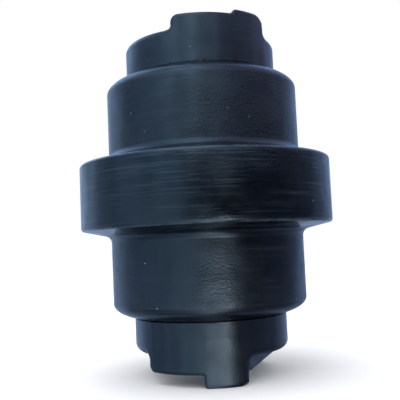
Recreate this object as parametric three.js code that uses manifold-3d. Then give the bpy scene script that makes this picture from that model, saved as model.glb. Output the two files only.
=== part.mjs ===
// Bottom track roller of a small excavator: a flanged shell turns on a fixed shaft between two end collars.
// Millimetres. The roller's axis is Z, the origin is on the axis at the middle of the centre flange.
// Azimuths are in degrees round the axis, counted from -Y towards +X. +Y is the side that bolts to the
// track frame.
import * as THREE from 'three';
import { mergeVertices } from 'three/addons/utils/BufferGeometryUtils.js';
import Module from 'manifold-3d';

const wasm = await Module();
wasm.setup();

// Clearances
const fitGap = 0.3; // between pieces that touch or are pressed together
const endGap = 0.3; // between the shell's end faces and the collars' inner faces
const thrustGap = 0.4; // end play between a bushing flange and a collar's nose

// Shell
const flangeRadius = 70;
const flangeWidth = 36.2;
const flangeCorner = 1.8;
const treadRadius = 53.6;
const shellLength = 133.4;
const rootFillet = 9.4; // between the flange's sides and the treads
const treadEndDrop = 8.9; // how far before the end face the tread's rounded end starts
const endFaceWall = 1.2; // flat ring between the seal cavity's mouth and that rounding
const reservoirLength = 28; // oil space between the two bushings
const reservoirDepth = 3;
const reservoirLedge = 2; // from the oil space to the bushings' inner ends

// Shaft and its oil way
const shaftRadius = 19;
const shaftRecess = 1.5; // the shaft ends lie this far inside the collars' end faces
const shaftChamfer = 1.2;
const galleryRadius = 3;
const crossDrillRadius = 2.6;
const plugRadius = 6.6;
const plugLength = 7.4;
const plugSocketFlats = 6;
const plugSocketDepth = 5;
const plugRecess = 0.8;
const washerThickness = 1;
const washerHoleRadius = 3.4;

// Bushings
const bushingWall = 4.4;
const bushingFlangeReach = 3.8;
const bushingFlangeThickness = 3;

// Floating seals, one half in the shell and one half in the collar
const noseWall = 3.1; // the collar's nose, which runs through the seal to the bushing
const noseClearance = 0.6; // between that nose and the seal rings
const sealRingWall = 2;
const sealRingRamp = 1.4;
const sealRingLength = 7.6;
const sealLipThickness = 2.6;
const sealLipClearance = 1.6; // between a seal ring's lip and the cavity's mouth
const toricSection = 1.9; // radius of the rubber
const toricDepth = 5.2; // from the sealing face to the middle of the rubber ring
const cavityTaper = 2; // how much wider the cavity's mouth is than its floor
const cavityMouthDepth = 1.7;
const shellCavityRoom = 1.4; // behind a seal ring, in the shell and in the collar
const collarCavityRoom = 1;

// End collars
const collarWall = 11.1; // round the seal cavity
const collarFloorWall = 8.4; // behind the seal cavity, up to the shoulder
const shoulderRound = 4.5;
const rimChamfer = 0.6;
const hubWall = 5.7; // round the shaft, up to the collar's end
const tenonHeight = 8;
const tenonTopRound = 1.6;
const tenonFlatStep = 3.8; // from the hub out to the tenon's flat side
const tenonEdgeAngle = 34; // from the tenon's middle line to its other edge, at the rim
const tenonLean = 15; // how far that side leans in towards the axis
const mountFlatWall = 13.7; // from the shaft's bore to the mounting flat
const mountPadDepth = 14; // full-height pad behind the mounting flat
const lugWidth = 20.6;
const lugDepth = 15;
const lugOuterRound = 4.5;
const lugInnerRound = 1.5;
const upperTenonAzimuth = 13.5;
const lowerTenonAzimuth = -18.4;
const upperLugHeight = 2.4;
const lowerLugHeight = 6.4;

// Tapped mounting holes and lock pins
const boltHoleRadius = 5.1;
const boltHoleSpacing = 34;
const boltHoleDepth = 14;
const boltHoleInset = 9.5; // from the collar's end face to the holes' centre line
const pinRadius = 3;
const pinToRing = 0.9; // along the shaft, from the O-ring to the pin
const pinEngagement = 9.4; // how deep the pin goes into the shaft
const pinRecess = 0.8;
const pinChamfer = 0.5;
const oRingSection = 0.9;
const oRingInset = 2.6; // from the collar cavity's floor to the ring's middle

// Facets round the axis
const shellFacets = 48;
const ringFacets = 32;
const rubberFacets = 24;
const smallFacets = 16;

// Places along the axis
const shellEnd = shellLength / 2;
const shellCavityDepth = sealRingLength + shellCavityRoom;
const collarCavityDepth = sealRingLength + collarCavityRoom;
const collarFace = shellEnd + endGap;
const shoulder = collarFace + collarCavityDepth + collarFloorWall;
const collarEnd = shoulder + tenonHeight;
const shaftEnd = collarEnd - shaftRecess;
const cavityFloor = shellEnd - shellCavityDepth;
const collarCavityFloor = collarFace + collarCavityDepth;
const noseEnd = cavityFloor + thrustGap;
const boltHeight = collarEnd - boltHoleInset;
const oRingHeight = collarCavityFloor + oRingInset;
const pinHeight = oRingHeight + oRingSection + pinToRing + pinRadius;
const plugTop = shaftEnd - plugRecess;
const plugBottom = plugTop - plugLength;
const plugSeat = plugBottom - fitGap - washerThickness - fitGap;

// Radii that follow from the fits
const boreRadius = shaftRadius + fitGap;
const bushingRadius = boreRadius + bushingWall;
const shellBoreRadius = bushingRadius + fitGap;
const bushingFlangeRadius = bushingRadius + bushingFlangeReach;
const reservoirRadius = shellBoreRadius + reservoirDepth;
const noseRadius = boreRadius + noseWall;
const sealRingBore = noseRadius + noseClearance;
const sealRingOuter = sealRingBore + sealRingWall;
const hubRadius = boreRadius + hubWall;
const tenonFlatOffset = hubRadius + tenonFlatStep;
const mountFlatOffset = boreRadius + mountFlatWall;
const padStart = mountFlatOffset - mountPadDepth;
const pinHoleRadius = pinRadius + fitGap;
const oRingMiddle = boreRadius - fitGap - oRingSection;

// The seal cavities' tapered walls hold the rubber rings against the seal rings' ramps.
const rampShare = (sealRingLength - toricDepth) / (sealRingLength - sealLipThickness);
const toricInner = sealRingOuter + sealRingRamp * rampShare + fitGap;
const toricMiddle = toricInner + toricSection;
const toricOuter = toricMiddle + toricSection + fitGap;
const wallShare = (shellCavityDepth - toricDepth) / (shellCavityDepth - cavityMouthDepth);
const cavityFloorRadius = toricOuter - cavityTaper * wallShare;
const cavityMouthRadius = cavityFloorRadius + cavityTaper;
const sealLipRadius = cavityMouthRadius - sealLipClearance;
const collarRadius = cavityMouthRadius + collarWall;
const endFaceRadius = cavityMouthRadius + endFaceWall;

const blackEnamel = { color: 0x0b0e16, roughness: 0.28, metalness: 0 };
const groundSteel = { color: 0x8d9196, roughness: 0.3, metalness: 1 };
const sealIron = { color: 0x74767a, roughness: 0.22, metalness: 1 };
const bronze = { color: 0xa9783a, roughness: 0.4, metalness: 1 };
const nitrile = { color: 0x151515, roughness: 0.75, metalness: 0 };
const copper = { color: 0xb56a42, roughness: 0.4, metalness: 1 };

const point = (radius, height) => new THREE.Vector2(radius, height);

// Points on an ellipse quarter or any part of one, angles in quarter turns.
function arc(middleRadius, middleHeight, reach, rise, fromQuarter, toQuarter, steps) {
  const points = [];
  for (let step = 0; step <= steps; step += 1) {
    const angle = (Math.PI / 2) * THREE.MathUtils.lerp(fromQuarter, toQuarter, step / steps);
    points.push(point(middleRadius + reach * Math.cos(angle), middleHeight + rise * Math.sin(angle)));
  }
  return points;
}

// A profile of (radius, height) points turned round Z. It closes on itself or ends on the axis.
function revolve(profile, facets) {
  return new THREE.LatheGeometry(profile, facets).rotateX(Math.PI / 2);
}

function ring(profile, facets) {
  return revolve([...profile, profile[0]], facets);
}

// A closed geometry as a solid for joining and cutting.
function solid(geometry) {
  const bare = new THREE.BufferGeometry().setAttribute('position', geometry.getAttribute('position'));
  bare.setIndex(geometry.getIndex());
  const merged = mergeVertices(bare, 1e-4);
  const vertProperties = new Float32Array(merged.getAttribute('position').array);
  const triVerts = new Uint32Array(merged.getIndex().array);
  return new wasm.Manifold(new wasm.Mesh({ numProp: 3, vertProperties, triVerts }));
}

function geometryOf(manifold) {
  const mesh = manifold.getMesh();
  const geometry = new THREE.BufferGeometry();
  geometry.setAttribute('position', new THREE.BufferAttribute(mesh.vertProperties, 3));
  geometry.setIndex(new THREE.BufferAttribute(mesh.triVerts, 1));
  geometry.computeVertexNormals();
  return geometry;
}

function piece(name, geometry, finish) {
  const mesh = new THREE.Mesh(geometry, new THREE.MeshStandardMaterial(finish));
  mesh.name = name;
  return mesh;
}

function box(low, high) {
  const size = new THREE.Vector3().subVectors(high, low);
  const middle = new THREE.Vector3().addVectors(low, high).multiplyScalar(0.5);
  return solid(new THREE.BoxGeometry(size.x, size.y, size.z).translate(middle.x, middle.y, middle.z));
}

// A round bar along Y, used for radial drillings.
function barAlongY(radius, x, z, fromY, toY, facets) {
  const bar = new THREE.CylinderGeometry(radius, radius, toY - fromY, facets);
  return solid(bar.translate(x, (fromY + toY) / 2, z));
}

function barAlongZ(radius, fromZ, toZ, facets) {
  const bar = new THREE.CylinderGeometry(radius, radius, toZ - fromZ, facets);
  return solid(bar.rotateX(Math.PI / 2).translate(0, 0, (fromZ + toZ) / 2));
}

function mirrored(points) {
  return points.map((p) => point(p.x, -p.y)).reverse();
}

// One half of the shell's profile, from the middle plane out along the outside and back along the bore.
function shellHalfOutside() {
  const halfFlange = flangeWidth / 2;
  return [
    ...arc(flangeRadius - flangeCorner, halfFlange - flangeCorner, flangeCorner, flangeCorner, 0, 1, 2),
    ...arc(treadRadius + rootFillet, halfFlange + rootFillet, rootFillet, rootFillet, 3, 2, 5),
    ...arc(endFaceRadius, shellEnd - treadEndDrop, treadRadius - endFaceRadius, treadEndDrop, 0, 1, 7),
  ];
}

function shellHalfInside() {
  const counterbore = bushingFlangeRadius + fitGap;
  const counterboreFloor = cavityFloor - bushingFlangeThickness - fitGap;
  const halfReservoir = reservoirLength / 2;
  return [
    point(cavityMouthRadius, shellEnd),
    point(cavityMouthRadius, shellEnd - cavityMouthDepth),
    point(cavityFloorRadius, cavityFloor),
    point(counterbore, cavityFloor),
    point(counterbore, counterboreFloor),
    point(shellBoreRadius, counterboreFloor),
    point(shellBoreRadius, halfReservoir),
    point(reservoirRadius, halfReservoir - reservoirDepth),
  ];
}

function rollerShell() {
  const half = [...shellHalfOutside(), ...shellHalfInside()];
  return ring([...half, ...mirrored(half)], shellFacets);
}

// A flanged bushing: a sleeve in the shell's bore with its flange facing the collar.
function bushing() {
  const flangeUnder = cavityFloor - bushingFlangeThickness;
  const inner = reservoirLength / 2 + reservoirLedge;
  const profile = [
    point(boreRadius, inner),
    point(bushingRadius, inner),
    point(bushingRadius, flangeUnder),
    point(bushingFlangeRadius, flangeUnder),
    point(bushingFlangeRadius, cavityFloor),
    point(boreRadius, cavityFloor),
  ];
  return ring(profile, ringFacets);
}

// A seal ring's section as (radius, distance from the sealing face): a lip and a sleeve with a ramp.
function sealRing(face, direction) {
  const section = [
    [sealRingBore, 0],
    [sealLipRadius, 0],
    [sealLipRadius, sealLipThickness],
    [sealRingOuter + sealRingRamp, sealLipThickness],
    [sealRingOuter, sealRingLength],
    [sealRingBore, sealRingLength],
  ].map(([radius, depth]) => point(radius, face + direction * depth));
  return ring(direction > 0 ? section : section.reverse(), ringFacets);
}

// The rubber ring between a seal ring's ramp and its cavity's wall.
function toricRing(face, direction) {
  const torus = new THREE.TorusGeometry(toricMiddle, toricSection, 6, rubberFacets);
  return torus.translate(0, 0, face + direction * toricDepth);
}

function oRing() {
  return new THREE.TorusGeometry(oRingMiddle, oRingSection, 6, rubberFacets).translate(0, 0, oRingHeight);
}

function shaft() {
  const grooveFloor = oRingMiddle - oRingSection - fitGap;
  const grooveHalf = oRingSection + fitGap;
  const half = [
    point(shaftRadius, oRingHeight - grooveHalf),
    point(grooveFloor, oRingHeight - grooveHalf),
    point(grooveFloor, oRingHeight + grooveHalf),
    point(shaftRadius, oRingHeight + grooveHalf),
    point(shaftRadius, shaftEnd - shaftChamfer),
    point(shaftRadius - shaftChamfer, shaftEnd),
    point(0, shaftEnd),
  ];
  const blank = solid(revolve([...mirrored(half), ...half], ringFacets));
  const pinFloor = shaftRadius - pinEngagement - fitGap;
  return [
    barAlongZ(galleryRadius, -crossDrillRadius, plugSeat + fitGap, smallFacets),
    barAlongZ(plugRadius + fitGap, plugSeat, shaftEnd + fitGap, smallFacets),
    barAlongY(crossDrillRadius, 0, 0, -flangeRadius, flangeRadius, smallFacets),
    barAlongY(pinHoleRadius, 0, pinHeight, pinFloor, flangeRadius, smallFacets),
    barAlongY(pinHoleRadius, 0, -pinHeight, pinFloor, flangeRadius, smallFacets),
  ].reduce((body, cut) => body.subtract(cut), blank);
}

function oilPlug() {
  const body = barAlongZ(plugRadius, plugBottom, plugTop, smallFacets);
  const corner = plugSocketFlats / Math.sqrt(3);
  const socket = barAlongZ(corner, plugTop - plugSocketDepth, plugTop + fitGap, 6);
  return body.subtract(socket);
}

function plugWasher() {
  const bottom = plugSeat + fitGap;
  const top = bottom + washerThickness;
  const profile = [
    point(washerHoleRadius, bottom),
    point(plugRadius, bottom),
    point(plugRadius, top),
    point(washerHoleRadius, top),
  ];
  return ring(profile, smallFacets);
}

// A lock pin, driven in from the mounting flat.
function lockPin() {
  const inner = shaftRadius - pinEngagement;
  const outer = mountFlatOffset - pinRecess;
  const profile = [
    point(0, inner),
    point(pinRadius - pinChamfer, inner),
    point(pinRadius, inner + pinChamfer),
    point(pinRadius, outer - pinChamfer),
    point(pinRadius - pinChamfer, outer),
    point(0, outer),
  ];
  return new THREE.LatheGeometry(profile, smallFacets).translate(0, 0, pinHeight);
}

// The collar's turned part, up to its shoulder: nose, seal cavity, bore and rounded rim.
function collarBody() {
  const profile = [
    point(boreRadius, noseEnd),
    point(noseRadius, noseEnd),
    point(noseRadius, collarCavityFloor),
    point(cavityFloorRadius, collarCavityFloor),
    point(cavityMouthRadius, collarFace + cavityMouthDepth),
    point(cavityMouthRadius, collarFace),
    point(collarRadius - rimChamfer, collarFace),
    point(collarRadius, collarFace + rimChamfer),
    ...arc(collarRadius - shoulderRound, shoulder - shoulderRound, shoulderRound, shoulderRound, 0, 1, 4),
    point(boreRadius, shoulder),
  ];
  return solid(ring(profile, shellFacets));
}

// The full-height blank that the tenon, the hub and the mounting pad are cut from.
function raisedBlank() {
  const bottom = shoulder - shoulderRound;
  const profile = [
    point(boreRadius, bottom),
    point(collarRadius, bottom),
    ...arc(collarRadius - tenonTopRound, collarEnd - tenonTopRound, tenonTopRound, tenonTopRound, 0, 1, 3),
    point(boreRadius, collarEnd),
  ];
  return solid(ring(profile, shellFacets));
}

// Lines up a solid drawn with its middle line towards -Y with the tenon's azimuth.
function turned(geometry, azimuth) {
  return geometry.rotateZ(THREE.MathUtils.degToRad(azimuth));
}

function prism(corners, fromZ, toZ) {
  const shape = new THREE.Shape(corners);
  return new THREE.ExtrudeGeometry(shape, { depth: toZ - fromZ, bevelEnabled: false }).translate(0, 0, fromZ);
}

// The tenon's plan: one side flat along its middle line, the other leaning in towards the axis.
function tenonPrism(azimuth) {
  const edge = THREE.MathUtils.degToRad(tenonEdgeAngle);
  const lean = Math.tan(THREE.MathUtils.degToRad(tenonLean));
  const reach = 1.5 * collarRadius;
  const leanSide = (y) => -collarRadius * Math.sin(edge) + (y + collarRadius * Math.cos(edge)) * lean;
  const corners = [
    point(leanSide(-reach), -reach),
    point(tenonFlatOffset, -reach),
    point(tenonFlatOffset, reach),
    point(leanSide(collarRadius), reach),
  ];
  return solid(turned(prism(corners, cavityFloor, 2 * collarEnd), azimuth));
}

// The lug on the tenon's end, along its flat side, with its two upper corners rounded.
function lug(azimuth, height) {
  const left = tenonFlatOffset - lugWidth;
  const top = collarEnd + height;
  const outline = [
    point(left, shoulder),
    point(tenonFlatOffset, shoulder),
    ...arc(tenonFlatOffset - lugOuterRound, top - lugOuterRound, lugOuterRound, lugOuterRound, 0, 1, 4),
    ...arc(left + lugInnerRound, top - lugInnerRound, lugInnerRound, lugInnerRound, 1, 2, 3),
  ];
  const bar = new THREE.ExtrudeGeometry(new THREE.Shape(outline), { depth: lugDepth, bevelEnabled: false });
  const placed = bar.rotateX(Math.PI / 2).translate(0, -collarRadius + lugDepth, 0);
  const rim = barAlongZ(collarRadius, shoulder, 2 * collarEnd, shellFacets);
  return solid(turned(placed, azimuth)).intersect(rim);
}

function endCollar(azimuth, lugHeight) {
  const far = 2 * collarEnd;
  const hub = barAlongZ(hubRadius, cavityFloor, far, shellFacets);
  const pad = box(new THREE.Vector3(-far, padStart, cavityFloor), new THREE.Vector3(far, far, far));
  const raised = raisedBlank().intersect(tenonPrism(azimuth).add(hub).add(pad));
  const whole = collarBody().add(raised).add(lug(azimuth, lugHeight));
  const holeFloor = mountFlatOffset - boltHoleDepth;
  const holeReach = boltHoleSpacing / 2;
  return [
    box(new THREE.Vector3(-far, mountFlatOffset, 0), new THREE.Vector3(far, far, far)),
    barAlongY(boltHoleRadius, -holeReach, boltHeight, holeFloor, far, smallFacets),
    barAlongY(boltHoleRadius, holeReach, boltHeight, holeFloor, far, smallFacets),
    barAlongY(pinHoleRadius, 0, pinHeight, 0, far, smallFacets),
  ].reduce((body, cut) => body.subtract(cut), whole);
}

// Everything that stands at one end of the roller, drawn for the upper end.
function endGroup(end, azimuth, lugHeight) {
  const group = new THREE.Group();
  group.add(
    piece(`${end}_end_collar`, geometryOf(endCollar(azimuth, lugHeight)), blackEnamel),
    piece(`${end}_lock_pin`, lockPin(), groundSteel),
    piece(`${end}_shaft_o_ring`, oRing(), nitrile),
    piece(`${end}_bushing`, bushing(), bronze),
    piece(`${end}_shell_seal_ring`, sealRing(shellEnd, -1), sealIron),
    piece(`${end}_shell_toric_ring`, toricRing(shellEnd, -1), nitrile),
    piece(`${end}_collar_seal_ring`, sealRing(collarFace, 1), sealIron),
    piece(`${end}_collar_toric_ring`, toricRing(collarFace, 1), nitrile),
  );
  return group;
}

const trackRoller = new THREE.Group();
trackRoller.add(
  piece('roller_shell', rollerShell(), blackEnamel),
  piece('shaft', geometryOf(shaft()), groundSteel),
  piece('oil_plug', geometryOf(oilPlug()), groundSteel),
  piece('oil_plug_washer', plugWasher(), copper),
);
const lowerEnd = endGroup('lower', lowerTenonAzimuth, lowerLugHeight);
lowerEnd.scale.z = -1;
trackRoller.add(endGroup('upper', upperTenonAzimuth, upperLugHeight), lowerEnd);

export default trackRoller;
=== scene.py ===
import math

import bmesh
import bpy
import numpy as np
from mathutils import Matrix, Vector


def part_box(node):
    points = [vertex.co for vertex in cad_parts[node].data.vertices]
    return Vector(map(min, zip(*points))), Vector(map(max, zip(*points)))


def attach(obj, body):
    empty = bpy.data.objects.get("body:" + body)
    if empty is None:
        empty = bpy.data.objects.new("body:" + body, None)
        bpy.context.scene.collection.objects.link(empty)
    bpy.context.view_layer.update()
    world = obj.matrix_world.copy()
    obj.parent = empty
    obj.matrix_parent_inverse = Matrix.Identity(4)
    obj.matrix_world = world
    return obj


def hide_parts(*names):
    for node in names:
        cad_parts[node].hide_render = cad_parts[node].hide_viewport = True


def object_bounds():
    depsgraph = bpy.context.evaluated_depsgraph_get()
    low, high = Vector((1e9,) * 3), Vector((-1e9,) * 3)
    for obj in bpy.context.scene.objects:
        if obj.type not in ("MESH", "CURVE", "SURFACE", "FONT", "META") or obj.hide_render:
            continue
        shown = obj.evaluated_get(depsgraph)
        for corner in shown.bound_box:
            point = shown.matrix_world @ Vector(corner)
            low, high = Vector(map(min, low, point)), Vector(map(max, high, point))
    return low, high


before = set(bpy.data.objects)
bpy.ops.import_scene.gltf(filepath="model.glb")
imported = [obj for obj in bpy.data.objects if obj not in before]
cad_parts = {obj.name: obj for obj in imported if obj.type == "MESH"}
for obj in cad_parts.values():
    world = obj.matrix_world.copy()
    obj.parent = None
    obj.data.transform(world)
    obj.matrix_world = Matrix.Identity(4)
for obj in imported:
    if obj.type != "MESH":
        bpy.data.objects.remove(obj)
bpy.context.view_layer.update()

# Track roller of a small excavator. Shapes are worked out in millimetres and put into meshes in metres.
# The roller's axis is Z, the side that bolts to the track frame is +Y.
mm = 0.001


def topOf(node):  # highest corner of a CAD node, in millimetres
    return np.array(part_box(node)[1]) / mm


# Fits shared by the pieces, and what the frame says about them
fits = {"gap": 0.3, "noseWall": 3.1, "sealRoom": 1.6, "cavityTaper": 2}
shaftRadius, _, shaftEnd = topOf("shaft")
flangeRadius, _, shellEnd = topOf("roller_shell")
bushingFlangeRadius, _, cavityFloor = topOf("upper_bushing")
sealLipRadius = topOf("upper_shell_seal_ring")[0]
plugRadius, _, plugTop = topOf("oil_plug")
mountFlat = topOf("upper_end_collar")[1]
boreRadius = shaftRadius + fits["gap"]
noseRadius = boreRadius + fits["noseWall"]
cavityMouthRadius = sealLipRadius + fits["sealRoom"]
cavityFloorRadius = cavityMouthRadius - fits["cavityTaper"]
oRingHeight = np.array(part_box("upper_shaft_o_ring")).mean(0)[2] / mm
pinHeight = np.array(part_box("upper_lock_pin")).mean(0)[2] / mm
pinRadius = topOf("upper_lock_pin")[0]

# How fields become meshes: the step for slopes, the moves towards the zero, the distance for joining points
fieldMesh = {"slopeStep": 0.02, "moves": 4, "leastSlopeSquare": 0.2, "sameWithin": 1e-7}


# Numpy surfaces

def arcPoints(middle, reach, rise, fromQuarter, toQuarter, steps):
    # middle + (reach cos a, rise sin a), a running between two numbers of quarter turns
    angle = np.linspace(fromQuarter, toQuarter, steps + 1) * math.pi / 2
    return np.column_stack((middle[0] + reach * np.cos(angle), middle[1] + rise * np.sin(angle)))


def roundedCorners(corners, radius, steps=4):
    # each corner of a closed outline becomes an arc touching both its sides, smaller where a side is short
    corners = np.asarray(corners, float)
    back = np.roll(corners, 1, 0) - corners
    ahead = np.roll(corners, -1, 0) - corners
    backLength = np.linalg.norm(back, axis=1)
    aheadLength = np.linalg.norm(ahead, axis=1)
    back, ahead = back / backLength[:, None], ahead / aheadLength[:, None]
    half = np.arccos(np.clip((back * ahead).sum(1), -1, 1)) / 2
    reach = np.minimum(radius / np.tan(half), 0.45 * np.minimum(backLength, aheadLength))
    inward = (back + ahead) / np.linalg.norm(back + ahead, axis=1)[:, None]
    middle = corners + inward * (reach / np.cos(half))[:, None]
    start = corners + back * reach[:, None] - middle
    stop = corners + ahead * reach[:, None] - middle
    sweep = (math.pi - 2 * half)[:, None]
    share = np.linspace(0, 1, steps + 1)[None, :]
    fromStart = np.sin((1 - share) * sweep) / np.sin(sweep)
    fromStop = np.sin(share * sweep) / np.sin(sweep)
    spokes = fromStart[..., None] * start[:, None] + fromStop[..., None] * stop[:, None]
    return (middle[:, None] + spokes).reshape(-1, 2)


def finerLine(points, longest, closed=True):
    # the same line with extra points, so that no step is longer than the given length
    line = np.vstack((points, points[:1])) if closed else np.asarray(points, float)
    steps = np.linalg.norm(np.diff(line, axis=0), axis=1)
    along = np.concatenate(([0], np.cumsum(steps)))
    counts = np.maximum(1, np.ceil(steps / longest)).astype(int)
    number = np.arange(counts.sum()) - np.repeat(np.cumsum(counts) - counts, counts)
    marks = np.repeat(along[:-1], counts) + number * np.repeat(steps / counts, counts)
    marks = marks if closed else np.append(marks, along[-1])
    return np.column_stack([np.interp(marks, along, line[:, column]) for column in (0, 1)])


def gridFaces(rows, columns, rowsClose):
    # quads between neighbours of a grid of points that always closes along its columns
    row = np.arange(rows if rowsClose else rows - 1)[:, None]
    column = np.arange(columns)[None, :]
    nextRow, nextColumn = (row + 1) % rows, (column + 1) % columns
    corners = (row * columns + column, row * columns + nextColumn,
               nextRow * columns + nextColumn, nextRow * columns + column)
    return np.stack(corners, -1).reshape(-1, 4)


def turnedSurface(profile, turns, closed=True, radiusAt=None):
    # point(u, v) = (r(v) cos u, r(v) sin u, z(v)); radiusAt may change r with u
    angle = np.arange(turns) * (2 * math.pi / turns)
    radius = np.meshgrid(profile[:, 0], angle, indexing="ij")[0]
    height = profile[:, 1][:, None]
    if radiusAt is not None:
        radius = radiusAt(radius, angle[None, :], height)
    height = np.broadcast_to(height, radius.shape)
    points = np.stack((radius * np.cos(angle), radius * np.sin(angle), height), -1)
    return points.reshape(-1, 3), gridFaces(len(profile), turns, closed)


def roundMax(a, b, radius):
    # the common part of two solids, their edge rounded
    corner = np.hypot(np.maximum(radius + a, 0), np.maximum(radius + b, 0))
    return np.minimum(-radius, np.maximum(a, b)) + corner


def roundMin(a, b, radius):
    # two solids joined, with a fillet between them
    corner = np.hypot(np.maximum(radius - a, 0), np.maximum(radius - b, 0))
    return np.maximum(radius, np.minimum(a, b)) - corner


def easeBetween(value, low, high):
    share = np.clip((value - low) / (high - low), 0, 1)
    return share * share * (3 - 2 * share)


def slopeOf(field, points):
    # how fast the field grows along x, y and z
    step = fieldMesh["slopeStep"]
    growth = [field(*(points + shift).T) - field(*(points - shift).T) for shift in np.eye(3) * step]
    return np.stack([along / (2 * step) for along in growth], -1)


def solidSurface(field, low, high, cell):
    # The surface where field(x, y, z) is zero. Each grid cell that it crosses gets one point, the middle of
    # the crossings on the cell's edges, and each crossed edge gets a quad of its four cells. The points are
    # then moved along the field's slope onto the zero.
    low = np.asarray(low, float)
    counts = np.ceil((np.asarray(high) - low) / cell).astype(int) + 1
    axes = [low[i] + cell * np.arange(counts[i]) for i in range(3)]
    values = field(*np.meshgrid(*axes, indexing="ij"))
    total, hits = np.zeros((*(counts - 1), 3)), np.zeros(counts - 1)
    crossings = []
    for axis in range(3):
        turned = np.moveaxis(values, axis, 0)
        near, nearHits = np.moveaxis(total, axis, 0), np.moveaxis(hits, axis, 0)
        a, b = turned[:-1], turned[1:]
        crossed = (a < 0) != (b < 0)
        share = np.where(crossed, a / np.where(crossed, a - b, 1), 0)
        others = [i for i in range(3) if i != axis]
        place = np.indices(near.shape[:3])
        for one, two in ((0, 0), (0, 1), (1, 0), (1, 1)):
            window = np.s_[:, one:one + near.shape[1], two:two + near.shape[2]]
            here = crossed[window]
            near[..., axis] += here * (place[0] + share[window])
            near[..., others[0]] += here * (place[1] + one)
            near[..., others[1]] += here * (place[2] + two)
            nearHits += here
        crossings.append((crossed, a < 0))
    active = hits > 0
    number = np.full(active.shape, -1)
    number[active] = np.arange(active.sum())
    points = low + cell * total[active] / hits[active][:, None]
    faces = []
    for axis, (crossed, fromInside) in enumerate(crossings):
        ids = np.moveaxis(number, axis, 0)
        inner = np.s_[:, 1:-1, 1:-1]
        place = np.nonzero(crossed[inner])
        along, one, two = place[0], place[1] + 1, place[2] + 1
        quad = np.stack((ids[along, one - 1, two - 1], ids[along, one, two - 1],
                         ids[along, one, two], ids[along, one - 1, two]), -1)
        outward = fromInside[along, one, two] != (axis == 1)
        faces.append(np.where(outward[:, None], quad, quad[:, ::-1]))
    for _ in range(fieldMesh["moves"]):
        slope = slopeOf(field, points)
        steepness = np.maximum((slope ** 2).sum(1), fieldMesh["leastSlopeSquare"])[:, None]
        move = field(*points.T)[:, None] * slope / steepness
        points = points - np.clip(move, -cell / 2, cell / 2)
    return points, np.concatenate(faces)


def makePiece(name, points, faces, body, slotName, stands=(), field=None, flip=False, sharpAngle=40):
    # puts a surface into a mesh object, mirrored in the XY plane for the lower end
    mirror = (1, 1, -1) if flip else (1, 1, 1)
    points = points * mirror
    faces = faces[:, ::-1] if flip else faces
    mesh = bpy.data.meshes.new(name)
    mesh.vertices.add(len(points))
    mesh.vertices.foreach_set("co", (points * mm).astype(np.float32).ravel())
    mesh.loops.add(faces.size)
    mesh.loops.foreach_set("vertex_index", faces.astype(np.int32).ravel())
    mesh.polygons.add(len(faces))
    mesh.polygons.foreach_set("loop_start", np.arange(0, faces.size, 4, dtype=np.int32))
    mesh.update(calc_edges=True)
    if field is None:
        joined = bmesh.new()
        joined.from_mesh(mesh)
        bmesh.ops.remove_doubles(joined, verts=joined.verts, dist=fieldMesh["sameWithin"])
        bmesh.ops.recalc_face_normals(joined, faces=joined.faces)
        joined.to_mesh(mesh)
        joined.free()
        mesh.shade_smooth()
        mesh.set_sharp_from_angle(angle=math.radians(sharpAngle))
    else:
        slope = slopeOf(field, points * mirror)
        slope = slope / np.linalg.norm(slope, axis=1)[:, None]
        mesh.shade_smooth()
        mesh.normals_split_custom_set_from_vertices(slope * mirror)
    mesh.materials.append(materials[slotName])
    piece = bpy.data.objects.new(name, mesh)
    bpy.context.scene.collection.objects.link(piece)
    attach(piece, body)
    if stands:
        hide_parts(*stands)
    return piece


# Shader groups

def newGroup(name, inputs, outputs):
    group = bpy.data.node_groups.new(name, "ShaderNodeTree")
    for socketName, kind, value in inputs:
        kindName = "NodeSocket" + kind
        socket = group.interface.new_socket(socketName, in_out="INPUT", socket_type=kindName)
        if value is not None:
            socket.default_value = value
    for socketName, kind in outputs:
        group.interface.new_socket(socketName, in_out="OUTPUT", socket_type="NodeSocket" + kind)
    return group, group.nodes.new("NodeGroupInput"), group.nodes.new("NodeGroupOutput")


def addNode(tree, kind, settings=None, **values):
    # values name the node's sockets, or give a socket's number as i0, i1 and so on
    node = tree.nodes.new("ShaderNode" + kind)
    for key, value in (settings or {}).items():
        setattr(node, key, value)
    for key, value in values.items():
        socket = node.inputs[int(key[1:]) if key[0] == "i" and key[1:].isdigit() else key]
        if isinstance(value, bpy.types.NodeSocket):
            tree.links.new(value, socket)
        else:
            socket.default_value = value
    return node


def math2(tree, operation, a, b=0.0):
    return addNode(tree, "Math", {"operation": operation}, i0=a, i1=b).outputs[0]


def stretched(tree, vector, scale, place=(0, 0, 0)):
    return addNode(tree, "Mapping", None, Vector=vector, Scale=scale, Location=place).outputs[0]


def noise(tree, vector, scale, detail=2.0, rough=0.5):
    node = addNode(tree, "TexNoise", None, Vector=vector, Scale=scale, Detail=detail, Roughness=rough)
    return node.outputs["Fac"]


def ramped(tree, value, low, high, toLow=0.0, toHigh=1.0):
    node = addNode(tree, "MapRange", {"interpolation_type": "SMOOTHSTEP"}, i0=value, i1=low, i2=high,
                   i3=toLow, i4=toHigh)
    return node.outputs[0]


marks = {"fine": (22, 22, 900), "broad": (13, 13, 190), "broadPlace": (3, 1, 7), "patch": (24, 24, 60),
         "patchPlace": (5, 2, 1), "patchRange": (0.36, 0.6), "grooveRange": (0.47, 0.64), "fineShare": 0.6,
         "broadShare": 0.7}


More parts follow.
